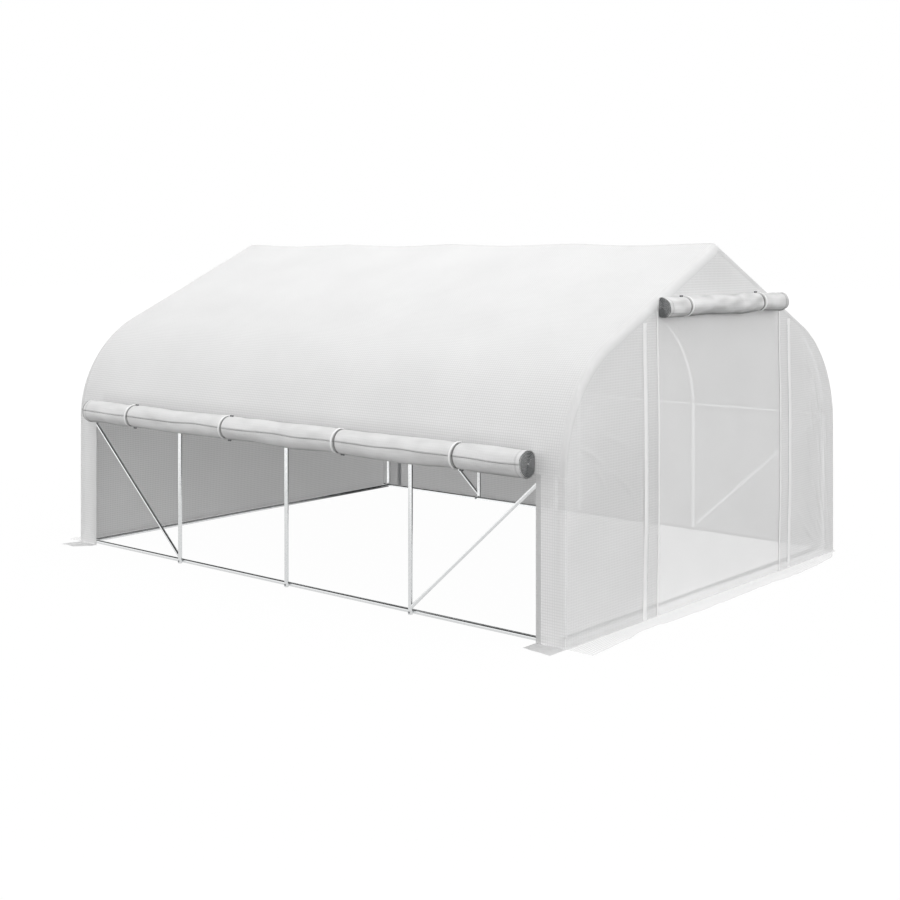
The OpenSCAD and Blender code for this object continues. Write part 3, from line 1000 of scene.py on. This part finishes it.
@dataclass
class ClothRoll:
    """A rolled-up panel: a spiral of cloth, flat against its wall, pinched by straps and sagging between."""

    name: str
    radius: float
    flat: float
    turns: float
    start: float
    end: float
    axis_out: float
    axis_up: float
    along_y: bool
    hem_angle: float
    straps: tuple[float, ...]
    pinch: float
    bulge: float
    sag: float
    groove_side: int
    # Painted shade at the tucked ends and along the underside, and an even darkening of the whole roll; grime is
    # random mottling.
    end_shade: tuple[float, float]
    grime: float
    underside_shade: float
    overall_darkening: float
    groove: float = 0.16
    groove_place: float = 13 * MM
    groove_width: float = 7.5 * MM
    core: float = 0.14
    fill: float = 0.8
    step: float = 0.03
    turn_points: int = 40
    # Width of the dark strip at the free hem's edge: a painted shadow line under the hem.
    hem_shadow: float = 1.6 * MM
    hem: float = 26 * MM
    hem_rise: float = 0.03
    bound: float = 10 * MM
    station: float = 40 * MM
    twist: float = 9.0
    strap_spread: float = 24 * MM
    # Angles of the painted shade along the underside.
    underside: tuple[float, float, float, float] = (226.0, 257.0, 310.0, 345.0)
    ring_points: int = 72

    def world(self, along: float, toward: float, up: float) -> Point:
        """Turns a place on the roll into the shared frame.

        Args:
            along: Place along the roll.
            toward: Distance from the axis towards the wall.
            up: Height above the axis.

        Returns:
            The place in metres.
        """
        if self.along_y:
            return self.axis_out - toward, along, self.axis_up + up
        return along, self.axis_out + toward, self.axis_up + up

    def reach(self, angle: float) -> float:
        """Share of the radius in a direction, less where the roll is flat against the wall.

        Args:
            angle: Direction, where 0 looks at the wall and a quarter turn looks up.

        Returns:
            The share, 1 on the free side.
        """
        facing = math.cos(angle)
        if facing <= 0.05:
            return 1.0
        return (1 + (self.flat / facing) ** -18) ** (-1 / 18)

    def swell(self, along: float, angle: float) -> float:
        """Change of the radius by straps, grooves, bulges and hems.

        Args:
            along: Place along the roll.
            angle: Direction from the axis.

        Returns:
            The change as a share of the radius.
        """
        tight = sum(math.exp(-((along - s) / self.strap_spread) ** 2) for s in self.straps)
        facing, rising = math.cos(angle), math.sin(angle)
        loose = noise.noise(Vector((along * 3.6, facing * 0.9, rising * 0.9 + 7 * self.radius)))
        fine = noise.noise(Vector((along * 14, facing * 2.2, rising * 2.2)))
        change = -self.pinch * tight + (self.bulge * loose + 0.25 * self.bulge * fine) * (1 - min(tight, 1.0))
        change -= self.groove * self.grooved(along)
        inward = min(along - self.start, self.end - along)
        raised = smoothstep(self.hem, self.hem - 5 * MM, inward) * smoothstep(-3 * MM, 9 * MM, inward)
        change += self.hem_rise * raised
        change -= 0.025 * math.exp(-((inward - self.hem - 2 * MM) / (3 * MM)) ** 2)
        return min(change, 0.0) if facing > 0 else change

    def grooved(self, along: float) -> float:
        """Share of the groove's depth beside the straps."""
        return sum(math.exp(-((along - s - self.groove_side * self.groove_place) / self.groove_width) ** 2)
                   for s in self.straps)

    def painted_shade_and_mottle(self, along: float, angle: float) -> float:
        """Painted shade along its underside, in its grooves, at its hem line and at its tucked ends, with an even
        darkening and random mottling.

        Args:
            along: Place along the roll.
            angle: Direction from the axis.

        Returns:
            From 0 for no darkening to 1.
        """
        turn = math.degrees(angle) % 360
        begin, full, fade, end = self.underside
        under = smoothstep(begin, full, turn) * smoothstep(end, fade, turn)
        # Painted shade: even darkening, the underside, and the grooves beside the straps.
        found = self.overall_darkening + self.underside_shade * under + self.grooved(along)
        blotch = noise.noise(Vector((along * 11, math.cos(angle) * 1.6, math.sin(angle) * 1.6 + 3)))
        found += self.grime * max(blotch + 0.35, 0.0)
        inward = min(along - self.start, self.end - along)
        # Painted shade in the groove at the hem line.
        found += 0.25 * math.exp(-((inward - self.hem - 2 * MM) / (4 * MM)) ** 2)
        # Painted shadow at the tucked ends.
        found += self.end_shade[0] * smoothstep(13 * MM, 5 * MM, along - self.start)
        found += self.end_shade[1] * smoothstep(60 * MM, 0.0, self.end - along)
        return min(max(found, 0.0), 1.0)

    def droop(self, along: float) -> float:
        """How far the axis hangs between the straps and beyond them.

        Args:
            along: Place along the roll.

        Returns:
            The drop in metres.
        """
        marks = sorted(self.straps)
        for low, high in zip(marks, marks[1:]):
            if low <= along <= high:
                return self.sag * math.sin(math.pi * (along - low) / (high - low)) ** 2
        edge = marks[0] if along < marks[0] else marks[-1]
        return 0.5 * self.sag * min(abs(along - edge) / 0.4, 1.0) ** 2

    def layer(self, turn: float) -> tuple[float, float]:
        """Where one layer of the spiral lies.

        Args:
            turn: Turns from the free hem.

        Returns:
            Its outer and inner share of the radius.
        """
        pitch = (1 - self.step - self.core) / (self.turns - 1)
        outer = 1 - self.step * turn if turn <= 1 else 1 - self.step - (turn - 1) * pitch
        thin = 0.75 * self.step
        thick = thin + (pitch * self.fill - thin) * smoothstep(0.85, 1.25, turn)
        return outer, outer - thick

    def stations(self) -> list[float]:
        """Places along the roll, closer together at its hems and straps.

        Returns:
            The places in order.
        """
        close = [(self.start, self.start + 60 * MM), (self.end - 60 * MM, self.end)]
        close += [(s - 30 * MM, s + 30 * MM) for s in self.straps]
        found = [c for low, high in close for c in steps(low, high, 3.5 * MM)]
        found += [c for c in steps(self.start, self.end, self.station)
                  if not any(low - 5 * MM < c < high + 5 * MM for low, high in close)]
        return sorted(found)

    def build(self, node: str) -> None:
        """Sweeps the spiral along the roll.

        Args:
            node: The solid that it replaces.
        """
        skin = steps(0.0, 1.0, 1 / self.turn_points)
        line = 1 - self.hem_shadow / (math.tau * self.radius)
        turns = skin[:-1] + [line, 1.0] + steps(1.0, self.turns, 2 / self.turn_points)[1:]
        count = len(turns)
        angles = [math.radians(self.hem_angle) - math.tau * t for t in turns]
        loop = [(a, self.layer(t)[0]) for a, t in zip(angles, turns)]
        loop += [(a, self.layer(t)[1]) for a, t in zip(reversed(angles), reversed(turns))]
        lengths = [0.0]
        for n in range(1, len(loop)):
            lengths.append(lengths[-1] + self.radius * loop[n][1] * abs(loop[n][0] - loop[n - 1][0]))
        places = self.stations()
        points, uvs, painted_shade_and_mottle, faces = [], [], [], []
        for along in places:
            drop = self.droop(along)
            twist = math.radians(self.twist) * noise.noise(Vector((along * 4.2, self.radius * 50, 0.5)))
            for (angle, share), run in zip(loop, lengths):
                angle += twist
                reach = self.radius * share * self.reach(angle) * (1 + self.swell(along, angle))
                points.append(self.world(along, reach * math.cos(angle), reach * math.sin(angle) - drop))
                uvs.append((along, run))
                painted_shade_and_mottle.append(self.painted_shade_and_mottle(along, angle))
        size = len(loop)
        for i in range(len(places) - 1):
            for j in range(size):
                a, b = i * size + j, i * size + (j + 1) % size
                faces.append((a, a + size, b + size, b))
        body = len(faces)
        last = (len(places) - 1) * size
        for j in range(count - 1):
            a, b, c, d = j, j + 1, size - 2 - j, size - 1 - j
            faces.append((a, b, c, d))
            faces.append((last + d, last + c, last + b, last + a))
        if not self.along_y:
            faces = [f[::-1] for f in faces]
        piece = Bench.mesh(self.name, points, faces, uvs, [ROLL_CLOTH, CUT_EDGE_AND_GAP_SHADE, BINDING], painted_shade_and_mottle)
        # End faces take the dark cut-edge finish: painted shade of the gaps between the layers.
        for number in range(body, len(faces)):
            piece.data.polygons[number].material_index = 1
            piece.data.polygons[number].use_smooth = False
        near = self.start if self.along_y else self.end
        for i in range(len(places) - 1):
            if abs(places[i] - near) < self.bound and abs(places[i + 1] - near) < self.bound:
                for j in range(turns.index(1.0)):
                    piece.data.polygons[i * size + j].material_index = 2
            # The strip at the free hem's edge takes the dark finish: a painted shadow line under the hem.
            piece.data.polygons[i * size + turns.index(line)].material_index = 1
        Bench.mount(piece, Slot.COVER, [node])

    def ring(self, along: float, width: float, thick: float) -> tuple[list[Point], list[tuple[int, ...]]]:
        """Webbing drawn tight round the roll.

        Args:
            along: Place of the strap along the roll.
            width: Width of the webbing.
            thick: Thickness of the webbing.

        Returns:
            Its points and faces.
        """
        count = self.ring_points
        outline = ((-0.5, 0.1), (-0.42, 0.6), (-0.22, 0.95), (0.22, 0.95), (0.42, 0.6), (0.5, 0.1),
                   (0.3, 0.0), (-0.3, 0.0))
        points, faces = [], []
        for n in range(count):
            angle = math.tau * n / count
            for aside, up in outline:
                place = along + aside * width + 4 * MM * math.sin(angle)
                rise = up * thick * (1 - 0.75 * max(math.cos(angle), 0.0))
                reach = self.radius * self.reach(angle) * (1 + self.swell(along, angle)) + 0.4 * MM + rise
                height = reach * math.sin(angle) - self.droop(along)
                points.append(self.world(place, reach * math.cos(angle), height))
        size = len(outline)
        for n in range(count):
            m = (n + 1) % count
            for k in range(size):
                q = (k + 1) % size
                face = (n * size + k, n * size + q, m * size + q, m * size + k)
                faces.append(face if self.along_y else face[::-1])
        return points, faces


@dataclass
class RollStraps:
    """Straps of one roll, with moulded toggles below and above it."""

    roll: ClothRoll
    name: str
    node: str
    width: float = 14 * MM
    thick: float = 6 * MM
    toggle_length: float = 24 * MM
    toggle_radius: float = 5.5 * MM
    low_toggle: tuple[float, float] = (262.0, 34 * MM)
    top_toggle: tuple[float, float] = (98.0, 54 * MM)
    low_straps: tuple[int, ...] = (0, 1, 2, 3)
    top_straps: tuple[int, ...] = (0, 1)

    def build(self) -> None:
        """Builds the rings and their toggles."""
        points: list[Point] = []
        faces: list[tuple[int, ...]] = []
        for along in self.roll.straps:
            ring_points, ring_faces = self.roll.ring(along, self.width, self.thick)
            faces += [tuple(n + len(points) for n in f) for f in ring_faces]
            points += ring_points
        piece = Bench.mesh(self.name, points, faces, None, [WEBBING])
        Bench.mount(piece, Slot.STRAP, [self.node])
        self.toggles()

    def toggles(self) -> None:
        """Waisted pegs that close the straps."""
        Bench.clear_selection()
        bpy.ops.mesh.primitive_cylinder_add(vertices=16, radius=self.toggle_radius, depth=self.toggle_length)
        peg = bpy.context.active_object
        bpy.ops.object.mode_set(mode="EDIT")
        for height in (-4 * MM, 4 * MM):
            bpy.ops.mesh.select_all(action="SELECT")
            bpy.ops.mesh.bisect(plane_co=(0, 0, height), plane_no=(0, 0, 1))
        bpy.ops.mesh.select_all(action="DESELECT")
        bpy.ops.object.mode_set(mode="OBJECT")
        for vertex in peg.data.vertices:
            vertex.select = abs(vertex.co.z) < 5 * MM
        bpy.ops.object.mode_set(mode="EDIT")
        bpy.ops.transform.resize(value=(0.7, 0.7, 1.0))
        bpy.ops.mesh.select_all(action="DESELECT")
        bpy.ops.object.mode_set(mode="OBJECT")
        for face in peg.data.polygons:
            face.select = abs(face.normal.z) > 0.9
        bpy.ops.object.mode_set(mode="EDIT")
        bpy.ops.mesh.bevel(offset=2 * MM, segments=3)
        bpy.ops.object.mode_set(mode="OBJECT")
        bpy.ops.object.shade_smooth_by_angle(angle=math.radians(40))
        peg.data.materials.append(Bench.material(ACETAL))
        turn = Matrix.Rotation(math.pi / 2, 4, "X" if self.roll.along_y else "Y")
        places = []
        pegs = ((self.low_straps, self.low_toggle), (self.top_straps, self.top_toggle))
        for straps, (turned, shift) in pegs:
            for strap in straps:
                angle, along = math.radians(turned), self.roll.straps[strap] + self.roll.groove_side * shift
                reach = self.roll.radius * (1 + self.roll.swell(along, angle)) + self.toggle_radius - 2 * MM
                up = reach * math.sin(angle) - self.roll.droop(along)
                places.append(Matrix.Translation(self.roll.world(along, reach * math.cos(angle), up)) @ turn)
        piece = Bench.spread(peg, places, f"{self.name}_toggles")
        Bench.mount(piece, Slot.STRAP)


@dataclass
class FrameFinish:
    """The steel frame: finish of its tubes, with screws and nuts at the joints."""

    bays: int = BAYS
    arch_end: float = ARCH_END
    leg: float = 1.4852
    tube: float = 12.5 * MM
    head: float = 6.5 * MM
    nut: float = 7 * MM

    def build(self) -> None:
        """Finishes the tubes and adds the screws and nuts."""
        steel = Bench.material(STEEL)
        for name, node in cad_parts.items():
            if any(part in name for part in ("arch", "elbow", "pole", "purlin", "rail", "brace")):
                for slot in node.material_slots:
                    slot.material = steel
                LOG.info("%s: galvanised", name)
        self.screws()
        self.nuts()

    def joints(self) -> list[tuple[float, float, float, float]]:
        """Places where a leg crosses a long tube.

        Returns:
            Place along, side, inner face of the tube across, and height, of each.
        """
        found = []
        for name in ("front_base_rail", "front_purlin"):
            low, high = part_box(name)
            found += [(-self.arch_end + 2 * self.arch_end * n / self.bays, side, -high[1], (low[2] + high[2]) / 2)
                      for n in range(self.bays + 1) for side in (-1, 1)]
        return found

    def screws(self) -> None:
        """Flat-headed screws on the outer side of the inner legs."""
        Bench.clear_selection()
        bpy.ops.mesh.primitive_cylinder_add(vertices=20, radius=self.head, depth=2.4 * MM)
        screw = bpy.context.active_object
        for face in screw.data.polygons:
            face.select = face.normal.z > 0.9
        for edge in screw.data.edges:
            edge.select = False
        bpy.ops.object.mode_set(mode="EDIT")
        bpy.ops.mesh.bevel(offset=1.4 * MM, segments=3)
        bpy.ops.object.mode_set(mode="OBJECT")
        bpy.ops.object.shade_smooth_by_angle(angle=math.radians(40))
        screw.data.materials.append(Bench.material(ZINC))
        places = [Matrix.Translation((x, side * (self.leg + self.tube + 0.4 * MM), z))
                  @ Matrix.Rotation(-side * math.pi / 2, 4, "X")
                  for x, side, _, z in self.joints() if side < 0 and abs(x) < 1.5]
        Bench.mount(Bench.spread(screw, places, "frame_screws"), Slot.STEEL)

    def nuts(self) -> None:
        """Hexagon nuts on washers at the inner side of the long tubes."""
        Bench.clear_selection()
        bpy.ops.mesh.primitive_cylinder_add(vertices=6, radius=self.nut, depth=5 * MM, location=(0, 0, 3.5 * MM))
        nut = bpy.context.active_object
        bpy.ops.object.transform_apply(location=True, rotation=True, scale=True)
        for face in nut.data.polygons:
            face.select = face.normal.z < -0.9
        bpy.ops.object.mode_set(mode="EDIT")
        bpy.ops.mesh.select_mode(type="FACE")
        bpy.ops.mesh.inset(thickness=0.8 * MM)
        bpy.ops.mesh.extrude_region_move(TRANSFORM_OT_translate={"value": (0, 0, -2 * MM)})
        bpy.ops.mesh.select_mode(type="VERT")
        bpy.ops.object.mode_set(mode="OBJECT")
        nut.data.materials.append(Bench.material(ZINC))
        places = [Matrix.Translation((x, side * (inner - 0.5 * MM), z))
                  @ Matrix.Rotation(side * math.pi / 2, 4, "X") for x, side, inner, z in self.joints()]
        Bench.mount(Bench.spread(nut, places, "frame_nuts"), Slot.STEEL)


@dataclass
class Studio:
    """Pale floor, soft light and the camera at the picture's viewpoint."""

    location: Point = (6.018, -7.140, 1.955)
    azimuth: float = 40.17
    lens: float = 56.404
    shift_up: float = -0.2214
    floor_tone: str = "#9C9C9C"
    horizon: float = 1.69
    overhead: float = 0.4
    zenith: float = 0.02
    flank: float = 0.04
    lean: float = 0.29
    floor_shine: float = 0.78
    floor_glow: float = 0.93
    lamp_power: float = 241.0
    lamp_size: float = 9.0
    lamp_height: float = 6.0
    shine_middle: float = -2.2
    shine_near: float = 2.9
    shine_far: float = 3.6
    floor_near: float = 4.5
    floor_far: float = 8.0
    wall_shine: float = 1.1
    wall_top: tuple[float, float] = (0.32, 0.58)
    flank_turn: float = 70.17
    flank_edge: tuple[float, float] = (0.4, 0.75)
    lean_toward: Point = (0.95, -0.31, 0.0)

    def build(self) -> None:
        """Sets up the camera, the floor, the lamps and the world."""
        self.camera()
        self.floor()
        self.lamps()
        self.world()
        bpy.context.scene.view_settings.view_transform = "Standard"

    def camera(self) -> None:
        """Level camera with a vertical shift."""
        data = bpy.data.cameras.new("camera")
        data.lens = self.lens
        data.sensor_width = 36
        data.shift_y = self.shift_up
        data.clip_end = 200
        camera = bpy.data.objects.new("camera", data)
        camera.location = self.location
        camera.rotation_euler = (math.pi / 2, 0, math.radians(self.azimuth))
        bpy.context.scene.collection.objects.link(camera)
        bpy.context.scene.camera = camera

    def floor(self) -> None:
        """Pale floor that keeps a soft shadow; the tubes show its near part only."""
        Bench.clear_selection()
        bpy.ops.mesh.primitive_plane_add(size=120, location=(0, 0, -0.5 * MM))
        floor = bpy.context.active_object
        floor.name = "floor"
        material, tree, output = new_material("studio_floor")
        face = add_node(tree, "BsdfDiffuse", {"Color": linear(self.floor_tone)})
        glow = add_node(tree, "Emission", {"Color": (1, 1, 1, 1), "Strength": 1.05})
        path = add_node(tree, "LightPath")
        seen = add_node(tree, "Math", {
            0: path.outputs["Is Camera Ray"], 1: path.outputs["Is Transmission Ray"]}, operation="MAXIMUM")
        place = add_node(tree, "TexCoord")
        away = add_node(tree, "VectorMath", {0: place.outputs["Object"]}, operation="LENGTH")
        fade = add_node(tree, "MapRange", {
            0: away.outputs["Value"], 1: self.floor_near, 2: self.floor_far, 3: self.floor_glow, 4: 1.0},
            interpolation_type="SMOOTHSTEP")
        share = add_node(tree, "Math", {0: seen.outputs[0], 1: fade.outputs[0]}, operation="MULTIPLY")
        mix = add_node(tree, "MixShader", {0: share.outputs[0], 1: face.outputs[0], 2: glow.outputs[0]})
        clear = add_node(tree, "BsdfTransparent")
        shine = add_node(tree, "Emission", {"Color": (1, 1, 1, 1), "Strength": self.floor_shine})
        apart = add_node(tree, "VectorMath", {
            0: place.outputs["Object"], 1: (0.0, self.shine_middle, 0.0)}, operation="DISTANCE")
        near = add_node(tree, "MapRange", {
            0: apart.outputs["Value"], 1: self.shine_near, 2: self.shine_far, 3: 1.0, 4: 0.0})
        mirror = add_node(tree, "MixShader", {0: near.outputs[0], 1: clear.outputs[0], 2: shine.outputs[0]})
        both = add_node(tree, "MixShader", {
            0: path.outputs["Is Glossy Ray"], 1: mix.outputs[0], 2: mirror.outputs[0]})
        tree.links.new(both.outputs[0], output.inputs[0])
        floor.data.materials.append(material)

    def lamps(self) -> None:
        """One wide soft lamp overhead, kept out of the reflections."""
        data = bpy.data.lights.new("overhead", "AREA")
        data.energy = self.lamp_power
        data.size = self.lamp_size
        lamp = bpy.data.objects.new("overhead", data)
        lamp.location = (0.0, 0.0, self.lamp_height)
        lamp.visible_glossy = False
        bpy.context.scene.collection.objects.link(lamp)

    def world(self) -> None:
        """White surround for the eye, white walls and a dim ceiling in reflections, softer light on the cloth."""
        world = bpy.data.worlds.new("studio")
        bpy.context.scene.world = world
        world.use_nodes = True
        tree = world.node_tree
        tree.nodes.clear()
        path = add_node(tree, "LightPath")
        seen = add_node(tree, "Math", {
            0: path.outputs["Is Camera Ray"], 1: path.outputs["Is Transmission Ray"]}, operation="MAXIMUM")
        place = add_node(tree, "TexCoord")
        axes = add_node(tree, "SeparateXYZ", {0: place.outputs["Generated"]})
        walls = add_node(tree, "MapRange", {
            0: axes.outputs[2], 1: self.wall_top[0], 2: self.wall_top[1], 3: self.wall_shine, 4: self.zenith})
        turn = math.radians(self.flank_turn)
        aside = add_node(tree, "VectorMath", {
            0: place.outputs["Generated"], 1: (math.cos(turn), math.sin(turn), 0.0)}, operation="DOT_PRODUCT")
        flank = add_node(tree, "MapRange", {
            0: aside.outputs["Value"], 1: self.flank_edge[0], 2: self.flank_edge[1], 3: 1.0, 4: self.flank})
        walls = add_node(tree, "Math", {0: walls.outputs[0], 1: flank.outputs[0]}, operation="MULTIPLY")
        soft = add_node(tree, "MapRange", {
            0: axes.outputs[2], 1: 0.0, 2: 1.0, 3: self.horizon, 4: self.overhead})
        corner = add_node(tree, "VectorMath", {
            0: place.outputs["Generated"], 1: self.lean_toward}, operation="DOT_PRODUCT")
        lean = add_node(tree, "MapRange", {
            0: corner.outputs["Value"], 1: -1.0, 2: 1.0, 3: 1 - self.lean, 4: 1 + self.lean})
        soft = add_node(tree, "Math", {0: soft.outputs[0], 1: lean.outputs[0]}, operation="MULTIPLY")
        light = add_node(tree, "Mix", {
            0: path.outputs["Is Glossy Ray"], 2: soft.outputs[0], 3: walls.outputs[0]}, data_type="FLOAT")
        strength = add_node(tree, "Mix", {
            0: seen.outputs[0], 2: light.outputs[0], 3: 1.0}, data_type="FLOAT")
        sky = add_node(tree, "Background", {"Color": (1, 1, 1, 1), "Strength": strength.outputs[0]})
        output = add_node(tree, "OutputWorld")
        tree.links.new(sky.outputs[0], output.inputs[0])


def main() -> None:
    """Builds every sub-assembly in order."""
    logging.basicConfig(level=logging.INFO, format="%(name)s: %(message)s")
    Bench.clear_selection()
    Studio().build()
    FrameFinish().build()
    Cover().build()
    Doorway().build()
    GroundFlaps().build()
    side = ClothRoll(
        "side_roll_cloth", radius=0.071, flat=0.86, turns=9.0, start=-1.785, end=1.816, axis_out=-1.56452,
        axis_up=0.90085, along_y=False, hem_angle=174.0, straps=(-1.335, -0.43, 0.51, 1.362), pinch=0.05,
        bulge=0.13, sag=4 * MM, groove_side=1, end_shade=(1.0, 0.0), grime=0.12, underside_shade=0.7, overall_darkening=0.0)
    side.build("side_roll")
    RollStraps(side, "side_straps", "side_roll_straps").build()
    door = ClothRoll(
        "door_roll_cloth", radius=0.056, flat=0.46, turns=8.0, start=-0.65, end=0.69, axis_out=2.0279,
        axis_up=1.652, along_y=True, hem_angle=222.0, straps=(-0.42, 0.42), pinch=0.08, bulge=0.2, sag=3 * MM,
        groove_side=-1, end_shade=(0.0, 0.2), grime=0.3, underside_shade=0.95, overall_darkening=0.2)
    door.build("door_roll")
    RollStraps(door, "door_straps", "door_roll_straps", low_straps=()).build()


if __name__ == "__main__":
    main()
